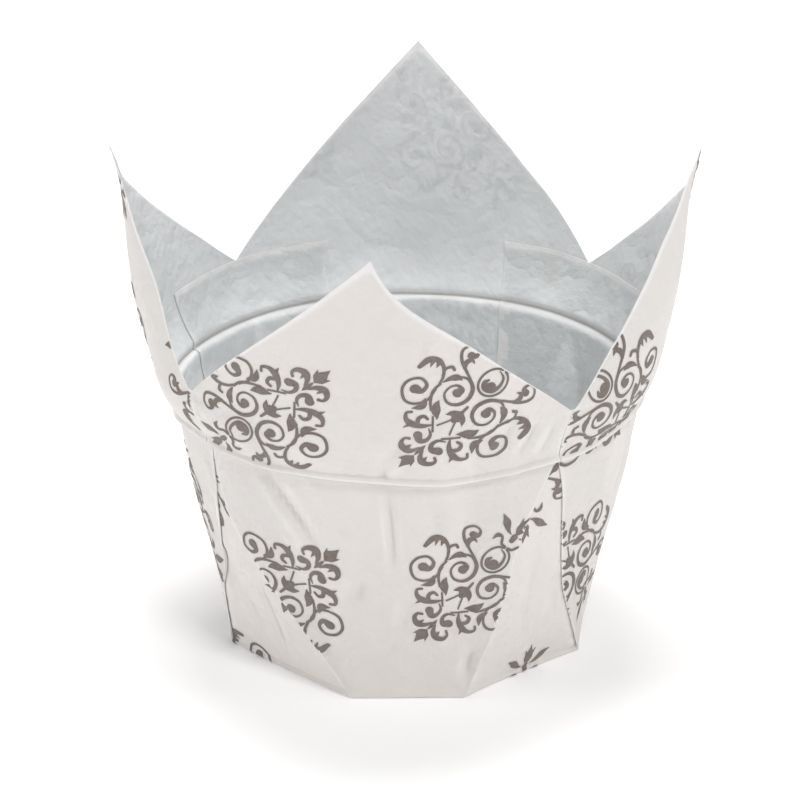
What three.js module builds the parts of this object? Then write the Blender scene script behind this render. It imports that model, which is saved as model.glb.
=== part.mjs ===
// A tulip baking mold: one square sheet of greaseproof paper pressed round a cup-shaped former.
// The sheet's corners stand up as four tips. Between them the spare paper is taken up by four
// inverted box pleats, closed above the rim crease and open as flat wedges at the base.
// Millimetres, +Z up, the front at -Y, and the origin in the middle of the underside.

import * as THREE from 'three';
import { mergeVertices } from 'three/addons/utils/BufferGeometryUtils.js';

const { PI, SQRT2, sin, cos, tan, atan2, hypot, abs, min, max, floor } = Math;
const degrees = THREE.MathUtils.degToRad;
const { lerp, clamp, smoothstep } = THREE.MathUtils;

// The sheet as it is cut, and the air between two layers where it is folded.
const sheetSide = 160;
const paper = 0.2;
const layerGap = 0.3;

// The cup: its base outline has eight corners, one at each end of a pleat's foot.
const baseRadius = 29.5;
const baseCorner = degrees(18);
const rimRadius = 37.2;
const rimHeight = 41.8;

// The shoulder steps out above the rim crease, and the tips rise from it.
const shoulderLean = degrees(40);
const shoulderRadius = 18;
const tipLean = degrees(10.6);
const seamGap = 0.35;

// The first millimetres of a pleat, in which the paper turns back on itself.
const pleatRise = 2.6;

// Pressing leaves each panel and pleat turned a little: panels run front, right, back, left,
// and pleats front right, back right, back left, front left.
const panelTurnAtBase = [0, -6, -3, -4];
const panelTurnAtRim = [-6.5, -1.5, -3, -2];
const pleatTurnAtBase = [-3.3, -5, -3, -2];
const pleatTurnAtRim = [-6, -2, -3, -11];

// Mesh steps: across half a panel, round a fold, along a hidden layer and half a wedge, and
// up the pleat's start, the cup, the shoulder and a tip.
const panelSteps = 6;
const foldSteps = 2;
const layerSteps = 4;
const wedgeSteps = 4;
const riseSteps = 4;
const cupSteps = 8;
const shoulderSteps = 3;
const tipSteps = 5;

// What follows from those sizes.
const quarter = PI / 4;
const foldRadius = (paper + layerGap) / 2;
const cupLean = atan2(rimRadius - baseRadius, rimHeight);
const rimSlant = hypot(rimRadius - baseRadius, rimHeight);
const shoulderSlant = rimSlant + shoulderRadius * (shoulderLean - tipLean);
const panelApothem = baseRadius * cos(baseCorner);
const wedgeApothem = baseRadius * cos(quarter - baseCorner);
const tipSlant = sheetSide / SQRT2 - panelApothem;

// The wall in section: the radius, height and lean at a distance measured up it from the base.
function wall(slant) {
  const inCup = min(slant, rimSlant);
  const turned = clamp((slant - rimSlant) / shoulderRadius, 0, shoulderLean - tipLean);
  const above = max(slant - shoulderSlant, 0);
  const onShoulder = shoulderLean - turned;
  const round = shoulderRadius * (cos(onShoulder) - cos(shoulderLean));
  const rise = shoulderRadius * (sin(shoulderLean) - sin(onShoulder));
  const lean = slant < rimSlant ? cupLean : onShoulder;
  return {
    radius: baseRadius + inCup * sin(cupLean) + round + above * sin(tipLean),
    height: paper / 2 + inCup * cos(cupLean) + rise + above * cos(tipLean),
    lean: slant === rimSlant ? (cupLean + shoulderLean) / 2 : lean,
  };
}

// From a panel's middle to its folded edge: round the wall, and across the flat paper.
function panelEdge(slant, atBase) {
  const atSlant = quarter * wall(max(slant, rimSlant)).radius - seamGap;
  return lerp(atBase, atSlant, min(slant / rimSlant, 1));
}

const edgeRoundWall = (slant) => panelEdge(slant, baseRadius * baseCorner);
const edgeOnPaper = (slant) => panelEdge(slant, baseRadius * sin(baseCorner));

// Half of the paper that lies hidden between a panel's edge and the wedge's edge behind it.
function pleatDepth(slant) {
  const { radius } = wall(slant);
  const wedgeAngle = quarter - edgeRoundWall(slant) / radius;
  const onPanel = new THREE.Vector2(edgeOnPaper(slant), panelApothem + slant);
  const onWedge = new THREE.Vector2(-radius * sin(wedgeAngle), wedgeApothem + slant);
  onWedge.rotateAround(new THREE.Vector2(), -quarter);
  return onPanel.distanceTo(onWedge) / 2;
}

// Half a panel and half a pleat, seen along the wall: the path of the paper from the panel's
// middle to the pleat's middle, as distances round the wall and levels above it.
function halfSection(slant) {
  const share = min(slant / pleatRise, 1);
  const bend = PI * share;
  const run = max(pleatDepth(slant) - 2 * foldRadius, foldRadius * share);
  const panelEnd = edgeRoundWall(slant) - foldRadius * sin(min(bend, PI / 2));
  const path = [];
  for (let i = 0; i <= panelSteps; i += 1) {
    path.push(new THREE.Vector2(panelEnd * i / panelSteps, 0));
  }

  const pen = new THREE.Vector2(panelEnd, 0);
  let heading = 0;
  const draw = (length) => {
    pen.x += length * cos(heading);
    pen.y += length * sin(heading);
    path.push(pen.clone());
  };
  const fold = (angle) => {
    const step = angle / foldSteps;
    const chord = 2 * foldRadius * sin(abs(step) / 2);
    for (let i = 0; i < foldSteps; i += 1) {
      heading += step / 2;
      draw(chord);
      heading += step / 2;
    }
  };
  fold(-bend);
  for (let i = 0; i < layerSteps; i += 1) {
    draw(run / layerSteps);
  }
  fold(bend);
  const toMiddle = quarter * wall(slant).radius - pen.x;
  for (let i = 0; i < wedgeSteps; i += 1) {
    draw(toMiddle / wedgeSteps);
  }
  return path;
}

// The same path moved sideways by half the paper's thickness, mitred at its corners.
function skin(path, offset) {
  return path.map((point, i) => {
    const before = path[max(i - 1, 0)];
    const after = path[min(i + 1, path.length - 1)];
    const into = point.clone().sub(before);
    const out = after.clone().sub(point);
    if (into.length() < 1e-6 || out.length() < 1e-6) {
      return new THREE.Vector2(point.x, point.y + offset);
    }
    const first = new THREE.Vector2(-into.y, into.x).normalize();
    const second = new THREE.Vector2(-out.y, out.x).normalize();
    const mitre = first.clone().add(second).multiplyScalar(offset / (1 + first.dot(second)));
    return point.clone().add(mitre);
  });
}

// How far the wall is turned at an azimuth, eased between each panel's and pleat's middle.
function turnAt(azimuth, slant) {
  const station = (azimuth / quarter + 16) % 8;
  const near = floor(station) % 8;
  const share = smoothstep(station - floor(station), 0, 1);
  const up = min(max(slant, 0) / rimSlant, 1);
  const turnOf = (index) => {
    const side = floor(index / 2) % 4;
    const panel = lerp(panelTurnAtBase[side], panelTurnAtRim[side], up);
    const pleat = lerp(pleatTurnAtBase[side], pleatTurnAtRim[side], up);
    return degrees(index % 2 === 0 ? panel : pleat);
  };
  return lerp(turnOf(near), turnOf((near + 1) % 8), share);
}

// A point of the wall. Panels and wedges are flat at the base, and panels round out to the rim.
function place(side, roundWall, slant, level) {
  const { radius, height, lean } = wall(slant);
  const local = roundWall / radius;
  const edge = edgeRoundWall(max(slant, 0)) / radius;
  const wedge = quarter - edge;
  const flatness = (1 - clamp(slant / rimSlant, 0, 1)) ** 5;
  const flatPanel = cos(edge) / cos(min(abs(local), edge));
  const flatWedge = cos(wedge) / cos(min(quarter - abs(local), wedge));
  const reach = radius * (abs(local) < edge ? lerp(1, flatPanel, flatness) : flatWedge);
  const azimuth = side * PI / 2 + local;
  const turned = azimuth + turnAt(azimuth, slant);
  const out = reach + level * cos(lean);
  return new THREE.Vector3(out * sin(turned), -out * cos(turned), height - level * sin(lean));
}

// Where the sheet's edge crosses the pleats, found by halving.
function valleySlant() {
  let low = 0;
  let high = tipSlant;
  for (let i = 0; i < 50; i += 1) {
    const middle = (low + high) / 2;
    if (edgeOnPaper(middle) + middle < tipSlant) {
      low = middle;
    } else {
      high = middle;
    }
  }
  return low;
}

// Rows of the mesh up the wall: close together where the pleats start and on the shoulder.
function rowSlants(top) {
  const stretch = (from, to, count) => {
    return Array.from({ length: count }, (_, i) => lerp(from, to, i / count));
  };
  return [
    ...stretch(0, pleatRise, riseSteps),
    ...stretch(pleatRise, rimSlant, cupSteps),
    ...stretch(rimSlant, shoulderSlant, shoulderSteps),
    shoulderSlant,
    top,
  ];
}

// One skin of the folded sheet: a grid of points by side, column and row. Above the valleys
// a panel's columns run on up to the sheet's slanting edges.
function skinColumns(offset) {
  const valley = valleySlant();
  const slants = rowSlants(valley);
  const footSlide = -offset * tan(quarter - cupLean / 2);
  const sections = slants.map((slant) => skin(halfSection(slant), offset));
  const last = sections.length - 1;
  const half = sections[0].length - 1;
  const columns = [];
  for (let side = 0; side < 4; side += 1) {
    for (let i = -half; i < half; i += 1) {
      const sign = i < 0 ? -1 : 1;
      const column = slants.map((slant, row) => {
        const point = sections[row][abs(i)];
        return place(side, sign * point.x, row === 0 ? footSlide : slant, point.y);
      });
      if (abs(i) < panelSteps) {
        const top = lerp(tipSlant, valley, abs(i) / panelSteps);
        const point = sections[last][abs(i)];
        for (let step = 1; step <= tipSteps; step += 1) {
          const slant = lerp(valley, top, step / tipSteps);
          column.push(place(side, sign * point.x, slant, point.y));
        }
      }
      columns.push(column);
    }
  }
  return columns;
}

// The closed body: both skins, the two faces of the base, and the cut edge of the paper.
function foldedSheet() {
  const outer = skinColumns(paper / 2);
  const inner = skinColumns(-paper / 2);
  const positions = [];
  const triangle = (a, b, c) => {
    const shortest = min(a.distanceTo(b), b.distanceTo(c), c.distanceTo(a));
    if (shortest > 1e-5) {
      [a, b, c].forEach((corner) => positions.push(...corner.toArray()));
    }
  };
  // Both skins of a four-sided patch, split along the diagonal that is shorter outside.
  const patch = (corners, cornersIn) => {
    const [a, b, c, d] = corners;
    const splits = a.distanceTo(c) < b.distanceTo(d) ? [[0, 1, 2], [0, 2, 3]] : [[0, 1, 3], [1, 2, 3]];
    splits.forEach(([i, j, k]) => {
      triangle(corners[i], corners[j], corners[k]);
      triangle(cornersIn[k], cornersIn[j], cornersIn[i]);
    });
  };
  const foot = new THREE.Vector3(0, 0, 0);
  const floorTop = new THREE.Vector3(0, 0, paper);
  outer.forEach((left, i) => {
    const next = (i + 1) % outer.length;
    const columns = [left, outer[next]];
    const columnsIn = [inner[i], inner[next]];
    const rows = max(left.length, columns[1].length);
    const pointAt = (column, row) => column[min(row, column.length - 1)];
    const cornersAt = ([one, two], row) => {
      return [pointAt(one, row), pointAt(two, row), pointAt(two, row + 1), pointAt(one, row + 1)];
    };
    for (let row = 0; row + 1 < rows; row += 1) {
      patch(cornersAt(columns, row), cornersAt(columnsIn, row));
    }
    const [a, b] = columns.map((column) => column.at(-1));
    const [aIn, bIn] = columnsIn.map((column) => column.at(-1));
    triangle(a, b, bIn);
    triangle(a, bIn, aIn);
    triangle(columns[1][0], left[0], foot);
    triangle(columnsIn[0][0], columnsIn[1][0], floorTop);
  });
  const soup = new THREE.BufferGeometry();
  soup.setAttribute('position', new THREE.Float32BufferAttribute(positions, 3));
  const geometry = mergeVertices(soup, 1e-5);
  geometry.computeVertexNormals();
  return geometry;
}

const greaseproofPaper = new THREE.MeshStandardMaterial({
  color: '#e4e0dc',
  roughness: 0.72,
  metalness: 0,
  side: THREE.DoubleSide,
});

const sheet = new THREE.Mesh(foldedSheet(), greaseproofPaper);
sheet.name = 'folded_sheet';

const bakingMold = new THREE.Group();
bakingMold.name = 'paper_baking_mold';
bakingMold.add(sheet);

export default bakingMold;
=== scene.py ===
from math import atan2, cos, hypot, pi, radians, sin, sqrt

import bmesh
import bpy
import numpy as np
from mathutils import Matrix, Vector


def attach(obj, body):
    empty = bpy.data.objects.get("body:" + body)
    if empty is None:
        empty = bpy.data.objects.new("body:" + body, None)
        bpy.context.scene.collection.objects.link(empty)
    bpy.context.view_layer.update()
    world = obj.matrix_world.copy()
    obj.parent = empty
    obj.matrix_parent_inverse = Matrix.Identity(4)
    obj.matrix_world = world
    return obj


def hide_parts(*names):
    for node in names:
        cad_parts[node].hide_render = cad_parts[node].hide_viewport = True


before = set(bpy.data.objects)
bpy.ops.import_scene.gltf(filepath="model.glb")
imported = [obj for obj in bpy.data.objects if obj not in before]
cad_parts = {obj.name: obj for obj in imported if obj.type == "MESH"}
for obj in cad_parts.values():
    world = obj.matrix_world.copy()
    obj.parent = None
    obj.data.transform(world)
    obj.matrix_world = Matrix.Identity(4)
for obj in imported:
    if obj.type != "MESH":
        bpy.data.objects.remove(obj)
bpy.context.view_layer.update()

# The folded sheet: one square of thin greaseproof paper, pressed between a former and a cup.
# Four inverted box pleats take up the spare paper, and the rim of the tool leaves a raised
# bead round the wall. Nothing holds it but its own creases. Lengths here are millimetres.
SHEET_SIDE = 160.0
PAPER = 0.09
BASE_RADIUS = 29.5
BASE_CORNER = radians(18)
FOOT_RADIUS = 0.25
RIM_RADIUS = 37.2
RIM_HEIGHT = 41.8
SHOULDER_LEAN = radians(40)
SHOULDER_RADIUS = 18.0
TIP_LEAN = radians(10.6)
SEAM_GAP = 0.1
FOLD_RADIUS = 0.08
PLEAT_RISE = 1.2

QUARTER = pi / 4
CUP_LEAN = atan2(RIM_RADIUS - BASE_RADIUS, RIM_HEIGHT)
RIM = hypot(RIM_RADIUS - BASE_RADIUS, RIM_HEIGHT)
SHOULDER = RIM + SHOULDER_RADIUS * (SHOULDER_LEAN - TIP_LEAN)
PANEL_APOTHEM = BASE_RADIUS * cos(BASE_CORNER)
WEDGE_APOTHEM = BASE_RADIUS * cos(QUARTER - BASE_CORNER)
TIP = SHEET_SIDE / sqrt(2) - PANEL_APOTHEM
FOOT = FOOT_RADIUS * cos(CUP_LEAN) / (1 + sin(CUP_LEAN))

# How far pressing turned each panel and pleat, in degrees at the base and at the rim, from the
# front panel round by the right. Each panel's two edges bow out: once over the cup's height,
# twice over it, and once between the rim and the valley, in millimetres. The cut edges of the
# tips sag a little too, in a narrow dip and a wide one.
TURN_AT_BASE = np.radians([0, -3.3, -6, -5, -3, -3, -4, -2])
TURN_AT_RIM = np.radians([-6.5, -6, -1.5, -2, -3, -3, -2, -11])
BOW = np.array([
    [[3.6, -1.7, 0.2], [-0.5, 1.2, -1.2]],
    [[3.6, 1.0, 1.2], [0.8, 0.3, 0.4]],
    [[0.6, -0.3, -0.4], [1.2, 0.5, 0.3]],
    [[1.0, -0.4, -0.3], [-0.4, -0.5, -0.2]],
])
SAG = np.array([
    [[0.0, 0.2], [2.9, 0.8]],
    [[0.0, 0.3], [0.4, 0.5]],
    [[0.2, 0.5], [0.0, 0.4]],
    [[0.3, 0.5], [0.0, 0.2]],
])

# The rim's bead and the dip under it, each with its rise, half width and place up from the rim.
# The front panel's left edge stands off its pleat up to a height, fading over a width round it.
BEAD = [(0.78, 0.6, 0.3), (-0.14, 1.1, -1.4)]
STAND_OFF, STAND_OFF_TOP, STAND_OFF_WIDTH = 0.45, 32.0, 3.0


def radius_of(slant):
    """Radius of the wall at a distance measured up it from the base's edge."""
    turned = np.clip((slant - RIM) / SHOULDER_RADIUS, 0, SHOULDER_LEAN - TIP_LEAN)
    shoulder = SHOULDER_RADIUS * (np.cos(SHOULDER_LEAN - turned) - cos(SHOULDER_LEAN))
    above = np.maximum(slant - SHOULDER, 0)
    return BASE_RADIUS + np.clip(slant, 0, RIM) * sin(CUP_LEAN) + shoulder + above * sin(TIP_LEAN)


def wall(slant):
    """Radius, height and lean of the paper there, with the base's edge rounded."""
    turned = np.clip((slant - RIM) / SHOULDER_RADIUS, 0, SHOULDER_LEAN - TIP_LEAN)
    shoulder = SHOULDER_RADIUS * (sin(SHOULDER_LEAN) - np.sin(SHOULDER_LEAN - turned))
    above = np.maximum(slant - SHOULDER, 0)
    height = PAPER / 2 + np.minimum(slant, RIM) * cos(CUP_LEAN) + shoulder + above * cos(TIP_LEAN)
    soft = np.clip((slant - RIM) / 1.8 + 0.5, 0, 1)
    lean = CUP_LEAN + (SHOULDER_LEAN - turned - CUP_LEAN) * soft * soft * (3 - 2 * soft)
    bend = (pi / 2 - CUP_LEAN) * np.clip(slant / FOOT + 1, 0, 2) / 2
    foot = slant < FOOT
    radius = np.where(foot, BASE_RADIUS - FOOT + FOOT_RADIUS * np.sin(bend), radius_of(slant))
    height = np.where(foot, PAPER / 2 + FOOT_RADIUS * (1 - np.cos(bend)), height)
    return radius, height, np.where(foot, pi / 2 - bend, lean)


def bow(side, end, slant):
    """How far a panel's folded edge stands out from its straight line."""
    rise = np.clip(slant / RIM, 0, 1)
    above = np.clip((slant - RIM) / (RIM / 4), 0, 1)
    once, twice, seam = np.moveaxis(BOW[side, end], -1, 0)
    return once * np.sin(pi * rise) + twice * np.sin(2 * pi * rise) + seam * np.sin(pi * above)


def panel_edge(side, end, slant, at_base):
    """From a panel's middle to its folded edge."""
    rise = np.clip(slant / RIM, 0, 1)
    at_slant = QUARTER * radius_of(np.maximum(slant, RIM)) - SEAM_GAP
    return at_base + (at_slant - at_base) * rise + bow(side, end, slant)


def edge_sag(side, end, share):
    """How far a tip's cut edge lies below its straight line, from the tip down to the valley."""
    narrow, wide = np.moveaxis(SAG[side, end], -1, 0)
    return narrow * share / 0.15 * np.exp(1 - share / 0.15) * (1 - share) + wide * 4 * share * (1 - share)


def edge_on_wall(side, end, slant):
    return panel_edge(side, end, slant, BASE_RADIUS * BASE_CORNER)


def edge_on_paper(side, end, slant):
    return panel_edge(side, end, slant, BASE_RADIUS * sin(BASE_CORNER))


def wedge_corner(side, end, slant):
    """Where the wedge comes out from under the panel's edge, on the flat sheet."""
    out = bow(side, end, slant)
    radius = radius_of(slant)
    across = radius * np.sin(QUARTER - (edge_on_wall(side, end, slant) - out) / radius) - out
    up = WEDGE_APOTHEM + slant
    return (up - across) * sqrt(0.5), (up + across) * sqrt(0.5)


def section(side, end, slant):
    """Lengths along the paper: to the panel's fold, the fold, the hidden run and half the wedge."""
    share = np.clip(slant / PLEAT_RISE, 0, 1)
    bend = pi * share
    x, y = wedge_corner(side, end, slant)
    depth = np.hypot(edge_on_paper(side, end, slant) - x, PANEL_APOTHEM + slant - y) / 2
    run = np.maximum(depth - 2 * FOLD_RADIUS, FOLD_RADIUS * share)
    reach = FOLD_RADIUS * np.sin(bend)
    straight = edge_on_wall(side, end, slant) - FOLD_RADIUS * np.sin(np.minimum(bend, pi / 2))
    half_wedge = QUARTER * radius_of(slant) - (straight + 2 * reach + run * np.cos(bend))
    return straight, FOLD_RADIUS * bend, run, bend, half_wedge


def along_paper(side, end, length, slant):
    """Distance round the wall, level above it and tilt of the paper, a length from the middle."""
    straight, fold, run, bend, _ = section(side, end, slant)
    first = np.clip(length - straight, 0, fold) / FOLD_RADIUS
    hidden = np.clip(length - straight - fold, 0, run)
    second = np.clip(length - straight - fold - run, 0, fold) / FOLD_RADIUS
    rest = np.maximum(length - straight - 2 * fold - run, 0)
    folds = np.sin(first) + np.sin(bend) - np.sin(bend - second)
    drop = 1 - np.cos(first) + np.cos(bend - second) - np.cos(bend)
    across = np.minimum(length, straight) + FOLD_RADIUS * folds + hidden * np.cos(bend) + rest
    return across, -FOLD_RADIUS * drop - hidden * np.sin(bend), first - second


def turn_at(azimuth, slant):
    """How far the wall is turned, eased between each panel's and pleat's middle."""
    station = (azimuth / QUARTER + 16) % 8
    near = np.floor(station).astype(int) % 8
    share = station - np.floor(station)
    share = share * share * (3 - 2 * share)
    up = np.clip(slant / RIM, 0, 1)
    turns = [TURN_AT_BASE[i] + (TURN_AT_RIM[i] - TURN_AT_BASE[i]) * up for i in (near, (near + 1) % 8)]
    return turns[0] + (turns[1] - turns[0]) * share


def chord(angle, low, high):
    """Share of the radius at an angle on the flat between two edges."""
    half = (high - low) / 2
    return np.cos(half) / np.cos(np.clip(angle - (high + low) / 2, -half, half))


def place(azimuth, slant, level):
    """A point of the wall: wedges are flat, and panels round out from the base to the rim."""
    radius, height, lean = wall(slant)
    nominal = radius_of(slant)
    quarter_turn = np.round(azimuth / (pi / 2)).astype(int)
    side = quarter_turn % 4
    local = azimuth - quarter_turn * pi / 2
    end = (local > 0).astype(int)
    left = edge_on_wall(side, 0, slant) / nominal
    right = edge_on_wall(side, 1, slant) / nominal
    own = np.where(end == 1, right, left)
    beyond = pi / 2 - edge_on_wall((side + 2 * end - 1) % 4, 1 - end, slant) / nominal
    flatness = (1 - np.clip(slant / RIM, 0, 1)) ** 5
    panel = 1 + (chord(local, -left, right) - 1) * flatness
    wedge = chord(np.abs(local), own, beyond)
    out = radius * np.where((local > -left) & (local < right), panel, wedge) + level * np.cos(lean)
    turned = azimuth + turn_at(azimuth, slant)
    return np.stack([out * np.sin(turned), -out * np.cos(turned), height - level * np.sin(lean)], -1)


# Creases pressed or crumpled into the paper: the panel or pleat, counted round from the front
# panel, both ends across it and up it, and the width and depth of the groove.
CREASES = [
    (0, -18.5, 42.0, -10.5, 27.0, 1.4, 0.62),
    (0, -13.5, 41.0, -9.0, 30.0, 1.0, 0.3),
    (0, 1.0, 41.0, 0.0, 25.0, 0.7, 0.38),
    (0, 0.7, 43.5, 0.7, 46.5, 0.8, 0.3),
    (0, 0.7, 46.0, 4.8, 52.5, 0.8, 0.3),
    (0, 11.5, 9.0, 9.5, 0.5, 1.2, 0.6),
    (0, 26.0, 54.0, 21.5, 46.0, 0.8, 0.42),
    (0, 29.0, 52.0, 25.5, 45.0, 0.8, 0.42),
    (0, 23.0, 57.0, 18.0, 48.5, 0.8, 0.35),
    (0, 7.5, 39.0, 8.5, 30.0, 1.5, 0.22),
    (0, -3.0, 20.0, -2.0, 6.0, 1.6, 0.2),
    (1, -1.5, 30.0, -2.5, 6.0, 1.4, 0.25),
    (1, 3.5, 18.0, 4.0, 1.0, 1.3, 0.2),
    (7, 1.6, 0.5, 0.8, 19.0, 0.9, 0.4),
    (7, -5.0, 14.0, -4.0, 1.0, 1.3, 0.2),
]
# Tip edges that curl: the panel and the edge's sign, where up the wall the curl starts, how far
# it goes out, or in if negative, and how fast it fades away from the cut edge.
CURLS = [(3, 1, 51.0, -2.6, 5.0), (1, 1, 66.0, 1.1, 2.5), (1, -1, 53.0, -3.3, 4.0), (2, 1, 60.0, -0.8, 5.0)]
# Slighter creases lie scattered over panels and pleats, and soft crumpled ridges run round them.
scatter = np.random.default_rng(5)
for station in (0, 0, 0, 0, 0, 1, 1, 2, 2, 2, 3, 4, 4, 4, 4, 5, 6, 6, 6, 7):
    reach_out = 4.0 if station % 2 else 20.0
    x_start = scatter.uniform(-reach_out, reach_out)
    s_start = scatter.uniform(12, RIM - 2)
    length = scatter.uniform(5, 13)
    lean_over = scatter.uniform(-0.4, 0.4)
    x_end = x_start + length * sin(lean_over)
    s_end = s_start - length * cos(lean_over)
    CREASES.append((station, x_start, s_start, x_end, s_end, 1.4, scatter.uniform(0.2, 0.38)))
CRUMPLES = []
for _ in range(9):
    across_waves, along_waves = scatter.integers(4, 13), scatter.uniform(-0.16, 0.16)
    CRUMPLES.append((across_waves, along_waves, *scatter.uniform(0, 2 * pi, 2), scatter.uniform(0.1, 0.2)))


def relief(azimuth, slant, under):
    """How far the pressed paper stands out from the plain wall, on top or under a panel."""
    radius = radius_of(slant)
    height = sum(rise * np.exp(-(((slant - RIM - place_up) / width) ** 2)) for rise, width, place_up in BEAD)
    for across_waves, along_waves, phase, patch, rise in CRUMPLES:
        ridge = abs(np.sin(across_waves * azimuth + along_waves * slant + phase)) - 0.64
        height = height - rise * ridge * (0.5 + 0.5 * np.sin(3 * azimuth + slant / 8 + patch)) ** 2
    waves = np.sin(5 * azimuth + slant / 9 + 1.3) + np.sin(9 * azimuth - slant / 6 + 0.4)
    waves = waves + 0.5 * np.sin(17 * azimuth + slant / 4 + 2.0) * np.sin(slant / 7 + 3 * azimuth)
    height = height + 0.17 * waves * np.clip(slant / 12, 0, 1)
    height = height + 0.35 * np.sin(6 * azimuth + slant / 11) * np.clip((slant - SHOULDER) / 15, 0, 1)
    for side, sign, start, depth, width in CURLS:
        x = ((azimuth - side * pi / 2 + pi) % (2 * pi) - pi) * radius
        from_edge = np.maximum(TIP - slant - sign * x, 0) * sqrt(0.5)
        up_tip = np.clip((slant - start) / (TIP + 1 - start), 0, 1)
        near = np.sin(pi * up_tip) * np.clip(3 - abs(x) / 16, 0, 1)
        height = height + depth * near * np.exp(-from_edge / width)
    for station, x_0, s_0, x_1, s_1, width, depth in CREASES:
        x = ((azimuth - station * QUARTER + pi) % (2 * pi) - pi) * radius
        span = hypot(x_1 - x_0, s_1 - s_0)
        share = ((x - x_0) * (x_1 - x_0) + (slant - s_0) * (s_1 - s_0)) / span**2
        off = ((x - x_0) * (s_1 - s_0) - (slant - s_0) * (x_1 - x_0)) / span
        taper = np.sqrt(np.clip(4 * share * (1 - share), 0, 1))
        groove = 0.6 * np.exp(-(((off - 1.4 * width) / width) ** 2)) - np.exp(-((off / width) ** 2))
        # Layers under a panel's crease give way further, so that none shows through the one on top.
        if station % 2 == 0:
            groove = groove - under * (groove + 2.0 * np.exp(-((off / width / 2.4) ** 2)))
        height = height + depth * taper * groove
    rise = np.clip(slant / 8, 0, 1)
    from_fold = -((azimuth + pi) % (2 * pi) - pi) * radius - edge_on_wall(0, 0, slant)
    gap = STAND_OFF * under * np.exp(-((from_fold / STAND_OFF_WIDTH) ** 2))
    gap = gap * np.clip((STAND_OFF_TOP - slant) / 8, 0, 1) * np.clip(slant / 2, 0, 1)
    return height * rise * rise * (3 - 2 * rise) - gap


def on_wall(side, end, length, slant, offset):
    """A point of the folded paper, offset from its middle towards its printed face."""
    across, level, tilt = along_paper(side, end, length, slant)
    across = across + offset * np.sin(tilt)
    azimuth = side * pi / 2 + (2 * end - 1) * across / radius_of(slant)
    under = np.clip(-level / FOLD_RADIUS / 2, 0, 1)
    return place(azimuth, slant, level + offset * np.cos(tilt) + relief(azimuth, slant, under))


def flat_xy(side, end, length, slant):
    """The same point on the flat sheet, in millimetres from its middle."""
    straight, fold, run, _, half_wedge = section(side, end, slant)
    edge = edge_on_wall(side, end, slant)
    stretch = edge_on_paper(side, end, slant) / edge
    corner = wedge_corner(side, end, slant)
    middle = (WEDGE_APOTHEM + slant) * sqrt(0.5)
    total = straight + 2 * fold + run + half_wedge
    marks = [straight, straight + 1.5 * fold + run, total - (QUARTER * radius_of(slant) - edge), total]
    x = np.minimum(length, straight) * stretch
    y = PANEL_APOTHEM + slant + 0 * x
    inside_fold = ((edge * stretch + corner[0]) / 2, (PANEL_APOTHEM + slant + corner[1]) / 2)
    for i, (to_x, to_y) in enumerate((inside_fold, corner, (middle, middle))):
        share = np.clip((length - marks[i]) / np.maximum(marks[i + 1] - marks[i], 1e-6), 0, 1)
        x, y = x + (to_x - x) * share, y + (to_y - y) * share
    x = x * (2 * end - 1)
    a = side * pi / 2
    return np.stack([x * cos(a) + y * sin(a), x * sin(a) - y * cos(a)], -1)


# Where the sheet's edge crosses the pleats, found by halving.
VALLEY, too_high = 0.0, TIP
for _ in range(50):
    middle = (VALLEY + too_high) / 2
    if QUARTER * radius_of(middle) - SEAM_GAP + middle < TIP:
        VALLEY = middle
    else:
        too_high = middle

PANEL_STEPS, FOLD_STEPS, LAYER_STEPS, WEDGE_STEPS, TIP_STEPS, RING_STEPS = 36, 5, 12, 13, 26, 6
rows = np.concatenate([
    np.linspace(-FOOT, FOOT, 7)[:-1],
    np.linspace(FOOT, PLEAT_RISE, 5)[:-1],
    np.linspace(PLEAT_RISE, RIM - 1.8, 31)[:-1],
    np.linspace(RIM - 1.8, RIM + 1.8, 13)[:-1],
    np.linspace(RIM + 1.8, VALLEY, 11),
])

# Each half panel and half pleat is a block of columns; above the valleys the panel's columns
# run on to the sheet's slanting edges, and below the first row they close over the base.
grids = {-1: [], 1: []}
flats = []
for side in range(4):
    for end in (0, 1):
        straight, fold, run, _, half_wedge = section(side, end, rows)
        lengths = [straight * i / PANEL_STEPS for i in range(PANEL_STEPS)]
        lengths += [straight + fold * i / FOLD_STEPS for i in range(FOLD_STEPS)]
        lengths += [straight + fold + run * i / LAYER_STEPS for i in range(LAYER_STEPS)]
        lengths += [straight + fold + run + fold * i / FOLD_STEPS for i in range(FOLD_STEPS)]
        folded = straight + 2 * fold + run
        lengths += [folded + half_wedge * i / WEDGE_STEPS for i in range(WEDGE_STEPS + 1)]
        lengths = np.array(lengths)
        share = np.clip(np.arange(len(lengths)) / PANEL_STEPS, 0, 1)
        top = TIP + (VALLEY - TIP) * share - edge_sag(side, end, share)
        climb = np.arange(1, TIP_STEPS + 1) / TIP_STEPS
        slants = np.concatenate([rows + 0 * lengths, VALLEY + np.outer(top - VALLEY, climb)], axis=1)
        lengths = np.concatenate([lengths, np.repeat(lengths[:, -1:], TIP_STEPS, axis=1)], axis=1)
        pick = slice(None, 0, -1) if end == 0 else slice(0, -1)
        inward = np.arange(RING_STEPS)[None, :, None] / RING_STEPS
        flat = flat_xy(side, end, lengths, slants)
        flats.append(np.concatenate([flat[:, :1] * inward, flat], axis=1)[pick])
        for face, grid in grids.items():
            points = on_wall(side, end, lengths, slants, face * PAPER / 2)
            floor = points[:, :1] * inward
            floor[..., 2] = points[:, :1, 2]
            grid.append(np.concatenate([floor, points], axis=1)[pick])
outer, inner = (np.concatenate(grids[face]) for face in (1, -1))
flat = np.concatenate(flats)

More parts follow.
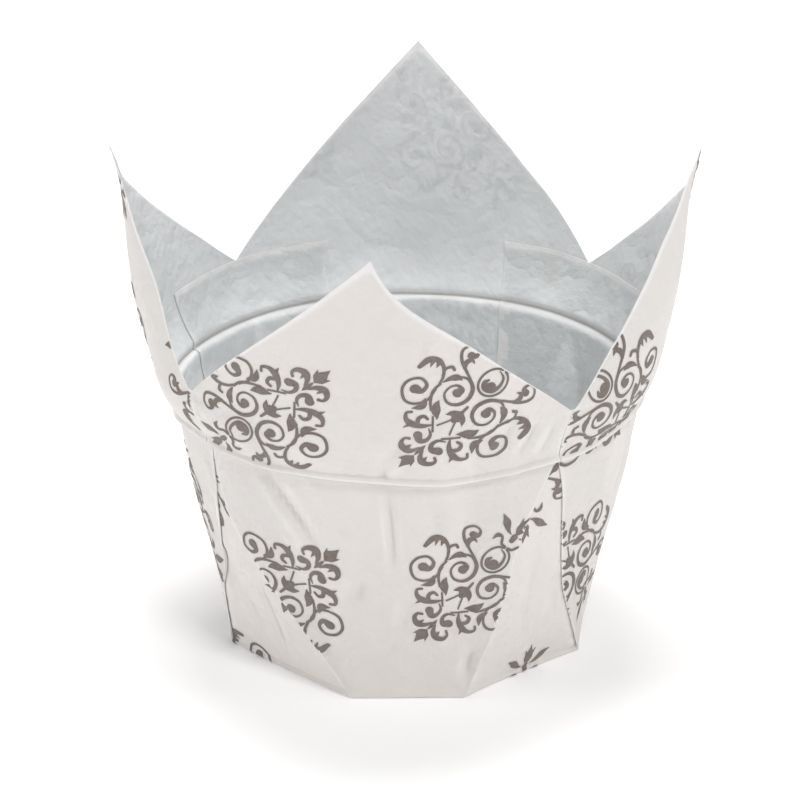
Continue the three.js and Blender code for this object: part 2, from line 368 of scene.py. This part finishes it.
column_count, row_count = flat.shape[:2]
index = np.arange(column_count * row_count).reshape(column_count, row_count)
beside = np.roll(index, -1, axis=0)
quads = np.stack([index[:, :-1], beside[:, :-1], beside[:, 1:], index[:, 1:]], -1).reshape(-1, 4)
cut = np.stack([index[:, -1], beside[:, -1], beside[:, -1] + index.size, index[:, -1] + index.size], -1)
back_quads = quads[:, [0, 3, 2, 1]]
faces = np.concatenate([quads, back_quads + index.size, cut])
vertices = np.concatenate([outer.reshape(-1, 3), inner.reshape(-1, 3)]) * 0.001

# Both faces are laid out as the flat sheet, side by side, with the cut edge as a narrow hem.
square = np.stack([flat[..., 0] - flat[..., 1], flat[..., 0] + flat[..., 1]], -1) * sqrt(0.5)
square = square.reshape(-1, 2) / (SHEET_SIDE + 2)
printed = square * [0.49, 0.98] + [0.25, 0.5]
back = square * [-0.49, 0.98] + [0.75, 0.5]
hem = square * 1.004 * [0.49, 0.98] + [0.25, 0.5]
corners = np.concatenate([
    printed[quads].reshape(-1, 2),
    back[back_quads].reshape(-1, 2),
    np.stack([printed[cut[:, 0]], printed[cut[:, 1]], hem[cut[:, 1]], hem[cut[:, 0]]], 1).reshape(-1, 2),
])


def make_piece(name, vertices, faces, corners, weld):
    """A smooth mesh object with its flat layout, welded where its points meet."""
    mesh = bpy.data.meshes.new(name)
    mesh.from_pydata(vertices.tolist(), [], faces.tolist())
    mesh.uv_layers.new(name="OFBake").uv.foreach_set("vector", corners.astype(np.float32).ravel())
    shape = bmesh.new()
    shape.from_mesh(mesh)
    bmesh.ops.remove_doubles(shape, verts=shape.verts, dist=weld)
    bmesh.ops.dissolve_degenerate(shape, edges=shape.edges, dist=weld)
    for face in shape.faces:
        face.smooth = True
    for edge in shape.edges:
        edge.smooth = edge.calc_face_angle(0.0) < radians(50)
    shape.to_mesh(mesh)
    shape.free()
    piece = bpy.data.objects.new(name, mesh)
    bpy.context.scene.collection.objects.link(piece)
    return piece


class Socket:
    """A shader socket that takes arithmetic as ordinary expressions."""

    def __init__(self, surface, socket):
        self.surface, self.socket = surface, socket

    def math(self, operation, *values):
        return self.surface.node("ShaderNodeMath", {"operation": operation}, list(values))[0]

    def __add__(self, other):
        return self.math("ADD", self, other)

    def __sub__(self, other):
        return self.math("SUBTRACT", self, other)

    def __rsub__(self, other):
        return self.math("SUBTRACT", other, self)

    def __mul__(self, other):
        return self.math("MULTIPLY", self, other)

    def __abs__(self):
        return self.math("ABSOLUTE", self)

    def above(self, low, high):
        """Eased from 0 at low to 1 at high."""
        inputs = [self, low, high]
        return self.surface.node("ShaderNodeMapRange", {"interpolation_type": "SMOOTHSTEP"}, inputs)[0]

    __radd__ = __add__
    __rmul__ = __mul__


class Surface:
    """A material whose nodes are made by one method and wired by name or place."""

    def __init__(self, name):
        self.material = bpy.data.materials.new(name)
        self.material.use_nodes = True
        self.tree = self.material.node_tree
        self.shader = self.tree.nodes["Principled BSDF"]

    def node(self, kind, settings=None, inputs=()):
        made = self.tree.nodes.new(kind)
        for key, value in (settings or {}).items():
            setattr(made, key, value)
        for key, value in inputs.items() if isinstance(inputs, dict) else enumerate(inputs):
            self.wire(value, made.inputs[key])
        return [Socket(self, socket) for socket in made.outputs]

    def wire(self, value, socket):
        if isinstance(value, Socket):
            self.tree.links.new(value.socket, socket)
        else:
            socket.default_value = value

    def noise(self, vector, scale, detail=2.0, roughness=0.5):
        inputs = {"Vector": vector, "Scale": scale, "Detail": detail, "Roughness": roughness}
        return self.node("ShaderNodeTexNoise", None, inputs)[0]

    def stretched(self, vector, factors):
        return self.node("ShaderNodeVectorMath", {"operation": "MULTIPLY"}, [vector, factors])[0]

    def mix(self, factor, one, other):
        inputs = {0: factor, 6: one, 7: other}
        return self.node("ShaderNodeMix", {"data_type": "RGBA"}, inputs)[2]


paper = Surface("greaseproof_paper")
on_sheet = paper.node("ShaderNodeUVMap", {"uv_map": "OFBake"})[0]
sheet_mm = paper.stretched(on_sheet, (330.6, 165.3, 0.0))
mottle = paper.noise(sheet_mm, 0.35, 4.0, 0.6)
grain = paper.noise(sheet_mm, 2.6, 5.0, 0.65)
fibre = paper.noise(paper.stretched(sheet_mm, (0.35, 4.5, 1.0)), 1.0, 3.0, 0.6)
cross_fibre = paper.noise(paper.stretched(sheet_mm, (5.0, 0.5, 1.0)), 1.0, 2.0, 0.5)
crumple = abs(paper.noise(sheet_mm, 0.12, 3.0, 0.5) - 0.5)
shade = 0.45 * mottle + 0.3 * grain + 0.25 * fibre
outside = paper.mix(shade, (0.72, 0.68, 0.65, 1), (0.795, 0.757, 0.732, 1))
# Painted shade and painted reflection: the inner face of the same paper is painted a cooler, darker grey, for
# the shade inside the cup and bluish light bounced into it.
inside = paper.mix(shade, (0.665, 0.68, 0.685, 1), (0.725, 0.74, 0.745, 1))
across_layout = paper.node("ShaderNodeSeparateXYZ", None, [on_sheet])[0]
plain = paper.mix(across_layout.above(0.499, 0.501), outside, inside)
# Painted highlight and painted shade: the paper's colour is painted lighter along the wall's ridges and
# darker grey in its grooves, by how convex or hollow the mesh is there, away from the base.
crest = paper.node("ShaderNodeNewGeometry")[7]
on_mold = paper.node("ShaderNodeTexCoord")[3]
up_the_wall = paper.node("ShaderNodeSeparateXYZ", None, [on_mold])[2].above(0.001, 0.003)
painted_ridge_highlight = paper.mix(0.8 * up_the_wall * crest.above(0.503, 0.54), plain, (0.88, 0.865, 0.85, 1))
# Painted shade: the grooves' darker grey, where the mesh is hollow.
colour = paper.mix(0.75 * up_the_wall * crest.above(0.497, 0.46), painted_ridge_highlight, (0.5, 0.46, 0.43, 1))
paper.wire(colour, paper.shader.inputs["Base Color"])
paper.wire(0.52 + 0.14 * grain, paper.shader.inputs["Roughness"])
paper.shader.inputs["Specular IOR Level"].default_value = 0.35
paper.shader.inputs["Subsurface Weight"].default_value = 0.3
paper.shader.inputs["Subsurface Radius"].default_value = (1.0, 0.97, 0.94)
paper.shader.inputs["Subsurface Scale"].default_value = 0.0003
height = 0.16 * grain + 0.14 * fibre + 0.1 * cross_fibre + 4.5 * crumple + 0.8 * mottle
bump = paper.node("ShaderNodeBump", None, {"Strength": 0.8, "Distance": 0.0004, "Height": height})[0]
paper.wire(bump, paper.shader.inputs["Normal"])

paper_sheet = make_piece("paper_sheet", vertices, faces, corners, 5e-7)
paper_sheet.data.materials.append(paper.material)
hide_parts("folded_sheet")
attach(paper_sheet, "root")

# The scroll print: one warm grey ink on the outer face, a damask spray of spirals, hooks and
# leaves repeated in columns that turn end for end. It lies on the paper, folds with it and runs
# a little round the folds. A stroke is its points across and up the spray, with its width there.
INK_LIFT = 0.055
INK_REACH = 1.0
BESIDE = [
    [(2.6, 3.7, 0.3), (4.9, 4.7, 0.5), (7.0, 5.8, 0.55), (8.2, 7.4, 0.5), (7.4, 8.8, 0.45),
     (6.0, 8.8, 0.4), (5.6, 7.8, 0.8), (6.4, 7.4, 1.3)],
    [(5.6, 5.0, 0.6), (6.1, 6.0, 0.9), (5.7, 6.8, 0.7), (4.9, 6.6, 0.15)],
    [(5.0, 3.3, 0.3), (3.5, 3.8, 0.55), (1.8, 2.9, 0.7), (1.0, 0.9, 0.7), (1.6, -0.9, 0.6), (3.1, -1.6, 0.5),
     (4.5, -0.8, 0.4), (4.8, 0.7, 0.4), (4.1, 1.8, 0.5), (3.0, 1.7, 0.9), (3.1, 0.8, 1.7)],
    [(6.3, 0.8, 0.2), (5.9, 2.1, 0.9), (5.2, 2.9, 1.2), (4.2, 3.1, 0.1)],
    [(6.4, 0.3, 0.45), (6.3, -1.4, 0.5), (5.4, -3.0, 0.5), (4.0, -4.4, 0.35)],
    [(4.3, -2.2, 0.15), (4.0, -3.1, 1.1), (3.3, -4.0, 1.5), (2.4, -4.7, 0.5), (2.1, -5.1, 0.1)],
    [(6.4, -0.1, 0.4), (7.1, 1.7, 0.5), (8.4, 3.1, 0.65), (9.9, 3.5, 0.95), (11.1, 2.6, 1.15),
     (11.2, 0.6, 0.7)],
    [(9.4, 3.1, 0.8), (9.1, 2.2, 0.1)],
    [(10.4, 2.8, 0.8), (9.9, 1.7, 0.1)],
    [(7.3, 1.7, 0.3), (7.8, 3.0, 0.5), (7.3, 3.9, 0.6), (6.6, 3.7, 0.5)],
    [(6.2, -1.0, 0.4), (5.8, -3.4, 0.45), (6.8, -5.2, 0.5), (8.5, -5.7, 0.5), (10.3, -4.3, 0.5),
     (10.6, -2.4, 0.5), (9.5, -0.9, 0.5), (7.9, -1.2, 0.6), (7.6, -2.6, 0.9), (8.7, -3.0, 1.8)],
    [(6.2, -3.3, 0.2), (5.7, -4.3, 1.2), (5.7, -5.1, 1.1), (6.5, -6.2, 0.1)],
    [(2.9, -5.1, 0.36), (1.0, -7.2, 0.36)],
    [(0.35, -3.4, 0.32), (0.8, -4.6, 0.3), (1.3, -5.8, 0.32)],
    [(1.9, -6.3, 0.2), (2.9, -7.6, 0.8), (4.4, -8.4, 1.2), (5.7, -8.3, 0.8), (6.5, -7.4, 0.5),
     (6.0, -6.7, 0.5)],
    [(4.4, -8.3, 1.0), (4.7, -9.1, 0.5), (4.9, -9.8, 0.1)],
    [(3.7, -7.8, 0.7), (4.3, -6.9, 0.7), (4.0, -6.0, 0.6), (3.2, -6.0, 0.5)],
    [(1.8, -7.2, 0.2), (0.8, -7.9, 0.5), (0.6, -9.1, 0.7), (1.3, -9.9, 1.0), (2.2, -9.3, 1.5)],
    [(0.45, -10.9, 0.2), (0.9, -12.1, 0.8), (2.0, -12.8, 1.2), (3.1, -12.2, 0.8), (3.3, -11.2, 0.5),
     (2.7, -10.7, 0.5)],
    [(1.9, -12.6, 0.9), (1.7, -11.4, 0.1)],
    [(0.3, 8.7, 0.5), (1.2, 8.9, 0.5), (2.0, 10.0, 0.5), (2.9, 9.8, 0.8), (3.2, 8.7, 0.1)],
    [(0.9, 11.2, 0.1), (1.9, 11.6, 0.7), (3.1, 12.6, 1.4), (4.0, 13.2, 0.7), (4.8, 13.6, 0.05)],
]
CENTRAL = [
    [(2.25 * sin(t), 5.8 + 2.7 * cos(t), 0.42) for t in np.linspace(0.15, 2 * pi - 0.12, 17)],
    [(-0.5, 8.0, 0.2), (0.8, 7.4, 0.45), (1.3, 5.9, 0.6), (0.9, 4.6, 1.0), (-0.3, 4.3, 1.3), (-1.1, 5.0, 0.9),
     (-0.9, 5.7, 0.4)],
    [(-0.3, 4.4, 1.3), (0.2, 5.0, 1.7)],
    [(0, 10.3, 1.0), (0, 11.1, 1.2)],
    [(0, 11.5, 0.3), (0, 12.7, 1.7), (0, 13.9, 1.5), (0, 15.0, 0.6), (0, 15.9, 0.05)],
    [(0.5, 13.6, 0.8), (1.1, 14.9, 0.05)],
    [(-0.5, 13.6, 0.8), (-1.1, 14.9, 0.05)],
    [(0, -0.2, 0.45), (0, -1.7, 0.55)],
    [(0, -1.2, 0.2), (0, -1.9, 1.2), (0, -2.9, 1.8), (0, -3.6, 0.6)],
    [(0, -1.8, 0.9), (1.0, -2.5, 1.0), (1.7, -3.4, 0.1)],
    [(0, -1.8, 0.9), (-1.0, -2.5, 1.0), (-1.7, -3.4, 0.1)],
    [(0, -9.9, 0.1), (0, -11.0, 0.8), (0, -12.3, 0.3)],
    [(0, -12.7, 0.3), (0, -13.5, 1.9), (0, -14.3, 1.9), (0, -15.2, 0.9), (0, -16.2, 0.05)],
    [(0.6, -13.7, 0.9), (1.3, -14.8, 0.05)],
    [(-0.6, -13.7, 0.9), (-1.3, -14.8, 0.05)],
]


def stroke(points):
    """Left, middle and right rails of a smooth stroke through the points, with round ends."""
    p = np.array([points[0], *points, points[-1]])
    p[0], p[-1] = 2 * p[1] - p[2], 2 * p[-2] - p[-3]
    line = []
    for a, b, c, d in zip(p, p[1:], p[2:], p[3:]):
        t = np.linspace(0, 1, max(int(np.hypot(*(c - b)[:2]) / 0.3), 5) + 1)[:-1, None]
        line.append(b + 0.5 * t * (c - a + t * (2 * a - 5 * b + 4 * c - d + t * (3 * (b - c) + d - a))))
    line = np.concatenate([*line, p[-2:-1]])
    line, width = line[:, :2], np.maximum(line[:, 2], 0.04)
    turn = np.arange(1, 5) / 4 * pi / 2
    for at_start in (True, False):
        tip, near = (line[0], line[1]) if at_start else (line[-1], line[-2])
        half = (width[0] if at_start else width[-1]) / 2
        cap = tip + (tip - near) / np.hypot(*(tip - near)) * half * np.sin(turn)[:, None]
        cap_width = 2 * half * np.cos(turn) + 1e-4
        if at_start:
            line, width = np.concatenate([cap[::-1], line]), np.concatenate([cap_width[::-1], width])
        else:
            line, width = np.concatenate([line, cap]), np.concatenate([width, cap_width])
    heading = np.gradient(line, axis=0)
    heading /= np.hypot(*heading.T)[:, None]
    normal = np.stack([-heading[:, 1], heading[:, 0]], -1) * width[:, None] / 2
    return np.stack([line + normal, line, line - normal], 1)


spray_points, spray_faces = [], []
strokes = [(stroke(s), 1) for s in CENTRAL]
strokes += [(stroke(s), sign) for s in BESIDE for sign in (1, -1)]
for layer, (rails, sign) in enumerate(strokes):
    first = sum(len(p) for p in spray_points)
    index = first + np.arange(len(rails) * 3).reshape(-1, 3)
    quads = np.stack([index[:-1, :-1], index[1:, :-1], index[1:, 1:], index[:-1, 1:]], -1).reshape(-1, 4)
    spray_faces.append(quads if sign > 0 else quads[:, ::-1])
    rails = rails.reshape(-1, 2) * [sign, 1]
    spray_points.append(np.column_stack([rails, np.full(len(rails), layer * 0.0004)]))
spray_points = np.concatenate(spray_points)
spray_faces = np.concatenate(spray_faces)

# The repeat over the flat sheet. Where a panel took up more paper, the print slips: above the
# rim it sinks by each panel's tuck, and SLIP moves it on a panel (0) or a pleat (1), counted
# round from the front.
REPEAT_ACROSS = (31.5, -4.4)
REPEAT_ALONG = (1.4, -37.5)
FIRST_SPRAY = (12.6, -50.4)
SPRAY_SCALE = 0.96
RIM_TUCK = [1.7, -0.6, 1.7, 1.7]
SLIP = {(0, 1): (-1.8, 4.6), (1, 0): (2.2, -0.4), (1, 3): (-1.5, -2.2)}
sprays = []
for i in range(-5, 5):
    for j in range(-5, 5):
        centre = np.add(FIRST_SPRAY, np.multiply(i, REPEAT_ACROSS)) + np.multiply(j, REPEAT_ALONG)
        if abs(centre[0]) + abs(centre[1]) < SHEET_SIDE / sqrt(2) + 20:
            sprays.append((centre, 1 if i % 2 == 0 else -1))
print_flat = bpy.data.meshes.new("print_flat")
sheet_points, sheet_faces = [], []
for number, (centre, turned) in enumerate(sprays):
    across, up = spray_points[:, 0] * SPRAY_SCALE, spray_points[:, 1] * SPRAY_SCALE
    u = centre[0] + turned * (up + across) * sqrt(0.5)
    v = centre[1] - turned * (up - across) * sqrt(0.5)
    sheet_points.append(np.column_stack([u, v, spray_points[:, 2]]))
    sheet_faces.append(spray_faces + number * len(spray_points))
print_flat.from_pydata(np.concatenate(sheet_points).tolist(), [], np.concatenate(sheet_faces).tolist())


def clipped(turn, slip, planes):
    """The flat print in a region's own frame, kept inside its straight sides."""
    shape = bmesh.new()
    shape.from_mesh(print_flat)
    flip = Matrix(((cos(turn), sin(turn), 0, 0), (sin(turn), -cos(turn), 0, 0), (0, 0, 1, 0), (0, 0, 0, 1)))
    shape.transform(Matrix.Translation((*slip, 0)) @ flip)
    for x, y, normal_x, normal_y in planes:
        geometry = shape.verts[:] + shape.edges[:] + shape.faces[:]
        bmesh.ops.bisect_plane(
            shape, geom=geometry, plane_co=(x, y, 0), plane_no=(normal_x, normal_y, 0), clear_outer=True
        )
    shape.verts.index_update()
    points = np.array([v.co[:] for v in shape.verts]).reshape(-1, 3)
    polygons = [[v.index for v in face.verts] for face in shape.faces]
    shape.free()
    return points, polygons


def side_plane(x_0, y_0, x_1, y_1, sign):
    """A region's straight side, facing out."""
    return (sign * x_0, y_0, sign * (y_1 - y_0), x_0 - x_1)


def folded_print():
    """Folded points, faces and flat places of the print on the outer face of the paper."""
    points, polygons, places = [], [], []

    def keep(region_points, region_faces, folded, turn, slip):
        first = sum(len(p) for p in points)
        points.append(folded)
        polygons.extend([i + first for i in face] for face in region_faces)
        x, y = region_points[:, 0] - slip[0], region_points[:, 1] - slip[1]
        places.append(np.column_stack([x * cos(turn) + y * sin(turn), x * sin(turn) - y * cos(turn)]))

    for part in range(2):
        for side in range(4):
            slip = SLIP.get((0, side), (0, 0))
            slip = (slip[0], slip[1] - RIM_TUCK[side] * part)
            low, high = ((-FOOT, RIM - 0.5), (RIM + 1.0, TIP))[part]
            planes = [(0, PANEL_APOTHEM + low, 0, -1), (0, PANEL_APOTHEM + high, 0, 1)]
            ends = max(low, 0), min(high, VALLEY)
            y_0, y_1 = (PANEL_APOTHEM + s for s in ends)
            room = INK_REACH + 5 * (1 - part)
            for end, sign in ((0, -1), (1, 1)):
                x_0, x_1 = (float(edge_on_paper(side, end, s)) + room for s in ends)
                planes.append(side_plane(x_0, y_0, x_1, y_1, sign))
                planes.append((0, PANEL_APOTHEM + TIP - 0.3, sign, 1))
            flat_print, region_faces = clipped(side * pi / 2, slip, planes)
            if len(flat_print) == 0:
                continue
            x, y, layer = flat_print.T
            slant = y - PANEL_APOTHEM
            end = (x > 0).astype(int)
            share = np.clip(np.abs(x) / edge_on_paper(side, end, VALLEY), 0, 1)
            top = TIP + (VALLEY - TIP) * share - edge_sag(side, end, share) - 0.25
            slant = np.where(slant > RIM, np.minimum(slant, top), slant)
            length = np.abs(x) * edge_on_wall(side, end, slant) / edge_on_paper(side, end, slant)
            straight, fold, run, _, _ = section(side, end, slant)
            length = np.minimum(length, straight + fold + run / 2)
            folded = on_wall(side, end, length, slant, PAPER / 2 + INK_LIFT + layer)
            keep(flat_print, region_faces, folded, side * pi / 2, slip)
    for side in range(4):
        turn = side * pi / 2 + QUARTER
        slip = SLIP.get((1, side), (0, 0))
        planes = [(0, WEDGE_APOTHEM - FOOT, 0, -1), (0, WEDGE_APOTHEM + RIM - 0.5, 0, 1)]
        room = INK_REACH + 4
        half = BASE_RADIUS * sin(QUARTER - BASE_CORNER) + room
        for sign in (-1, 1):
            planes.append(side_plane(half, WEDGE_APOTHEM, room, WEDGE_APOTHEM + RIM, sign))
        flat_print, region_faces = clipped(turn, slip, planes)
        if len(flat_print) == 0:
            continue
        x, y, layer = flat_print.T
        slant = y - WEDGE_APOTHEM
        nominal = radius_of(slant)
        own = edge_on_wall(side, 1, slant) / nominal
        beyond = pi / 2 - edge_on_wall((side + 1) % 4, 0, slant) / nominal
        foot = nominal * np.cos((beyond - own) / 2)
        middle = (beyond + own) / 2
        local = middle + np.arctan((x + foot * np.tan(QUARTER - middle)) / foot)
        folded = np.zeros((len(x), 3))
        for end, half in ((1, local <= QUARTER), (0, local > QUARTER)):
            which = (side + 1 - end) % 4
            straight, fold, run, _, half_wedge = section(which, end, slant)
            length = straight + 2 * fold + run + half_wedge - nominal * np.abs(QUARTER - local)
            length = np.maximum(length, straight + 1.5 * fold + run)
            offset = PAPER / 2 + INK_LIFT + layer
            folded = np.where(half[:, None], on_wall(which, end, length, slant, offset), folded)
        keep(flat_print, region_faces, folded, turn, slip)
    planes = []
    for i in range(8):
        a = i * QUARTER
        apothem = (WEDGE_APOTHEM if i % 2 else PANEL_APOTHEM) - FOOT
        planes.append((apothem * sin(a), apothem * cos(a), sin(a), cos(a)))
    flat_print, region_faces = clipped(0.0, (0, 0), planes)
    x, y, layer = flat_print.T
    azimuth = np.arctan2(x, y)
    spread = place(azimuth, np.full(len(x), -FOOT), 0 * x)
    share = np.hypot(x, y) / np.hypot(spread[:, 0], spread[:, 1])
    folded = spread * share[:, None]
    folded[:, 2] = -INK_LIFT - layer
    keep(flat_print, region_faces, folded, 0.0, (0, 0))
    return np.concatenate(points) * 0.001, polygons, np.concatenate(places)


ink = Surface("warm_grey_ink")
on_print = ink.node("ShaderNodeTexCoord")[3]
speck = ink.noise(on_print, 1400.0, 3.0, 0.6)
worn = ink.noise(on_print, 160.0, 3.0, 0.6)
cover = (0.6 * speck + 0.4 * worn).above(0.3, 0.75)
ink.wire(ink.mix(cover, (0.165, 0.137, 0.121, 1), (0.245, 0.212, 0.192, 1)), ink.shader.inputs["Base Color"])
ink.wire(0.5 + 0.15 * speck, ink.shader.inputs["Roughness"])
ink.shader.inputs["Specular IOR Level"].default_value = 0.3

points, polygons, places = folded_print()
polygons = [polygon[::-1] for polygon in polygons]
square = np.stack([places[:, 0] - places[:, 1], places[:, 0] + places[:, 1]], -1) * sqrt(0.5)
square = square / (SHEET_SIDE + 20) + 0.5
corners = square[[i for polygon in polygons for i in polygon]]
mesh = bpy.data.meshes.new("scroll_print")
mesh.from_pydata(points.tolist(), [], polygons)
mesh.uv_layers.new(name="OFBake").uv.foreach_set("vector", corners.astype(np.float32).ravel())
shape = bmesh.new()
shape.from_mesh(mesh)
bmesh.ops.dissolve_degenerate(shape, edges=shape.edges, dist=2e-7)
shape.to_mesh(mesh)
shape.free()
mesh.shade_smooth()
scroll_print = bpy.data.objects.new("scroll_print", mesh)
bpy.context.scene.collection.objects.link(scroll_print)
scroll_print.data.materials.append(ink.material)
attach(scroll_print, "root")

# A plain pale floor, out of the object, that fades to white under soft studio light.
bpy.ops.mesh.primitive_plane_add(size=8.0, location=(0, 0, -0.0001))
floor_plane = bpy.context.object
floor_plane.name = "studio_floor"
floor = Surface("studio_floor")
floor.shader.inputs["Base Color"].default_value = (0.97, 0.97, 0.97, 1)
floor.shader.inputs["Roughness"].default_value = 0.9
floor.shader.inputs["Emission Color"].default_value = (1, 1, 1, 1)
floor.shader.inputs["Emission Strength"].default_value = 0.15
floor_plane.data.materials.append(floor.material)

world = bpy.data.worlds.new("studio")
bpy.context.scene.world = world
world.use_nodes = True
world.node_tree.nodes["Background"].inputs["Color"].default_value = (1, 1, 1, 1)
world.node_tree.nodes["Background"].inputs["Strength"].default_value = 0.28

for name, place_at, size, power in (
    ("key", (0.5, -1.05, 1.45), 0.45, 11.0),
    ("right", (1.3, -0.3, 0.7), 0.5, 2.4),
    ("left", (-1.3, -0.2, 0.6), 0.5, 4.4),
    ("top", (0.0, 0.32, 1.5), 0.55, 13.0),
):
    light = bpy.data.lights.new(name, "AREA")
    light.size = size
    light.energy = power
    lamp = bpy.data.objects.new(name, light)
    lamp.location = place_at
    lamp.rotation_euler = (Vector((0, 0, 0.04)) - lamp.location).to_track_quat("-Z", "Y").to_euler()
    bpy.context.scene.collection.objects.link(lamp)

# The camera stands well back and looks down a little, as the photographer's did.
elevation, roll = radians(23.91), radians(0.61)
look_at, distance = Vector((-0.00113, 0, 0.03925)), 0.9262
back_to_camera = Vector((0, -cos(elevation), sin(elevation)))
right, up = Vector((1, 0, 0)), Vector((0, sin(elevation), cos(elevation)))
camera_x = right * cos(roll) - up * sin(roll)
camera_y = right * sin(roll) + up * cos(roll)
camera = bpy.data.objects.new("camera", bpy.data.cameras.new("camera"))
camera.data.lens = 260.13
camera.data.sensor_width = 36.0
camera.data.clip_end = 20.0
facing = Matrix((camera_x, camera_y, back_to_camera)).transposed().to_4x4()
camera.matrix_world = Matrix.Translation(look_at + back_to_camera * distance) @ facing
bpy.context.scene.collection.objects.link(camera)
bpy.context.scene.camera = camera
bpy.context.scene.view_settings.view_transform = "Standard"
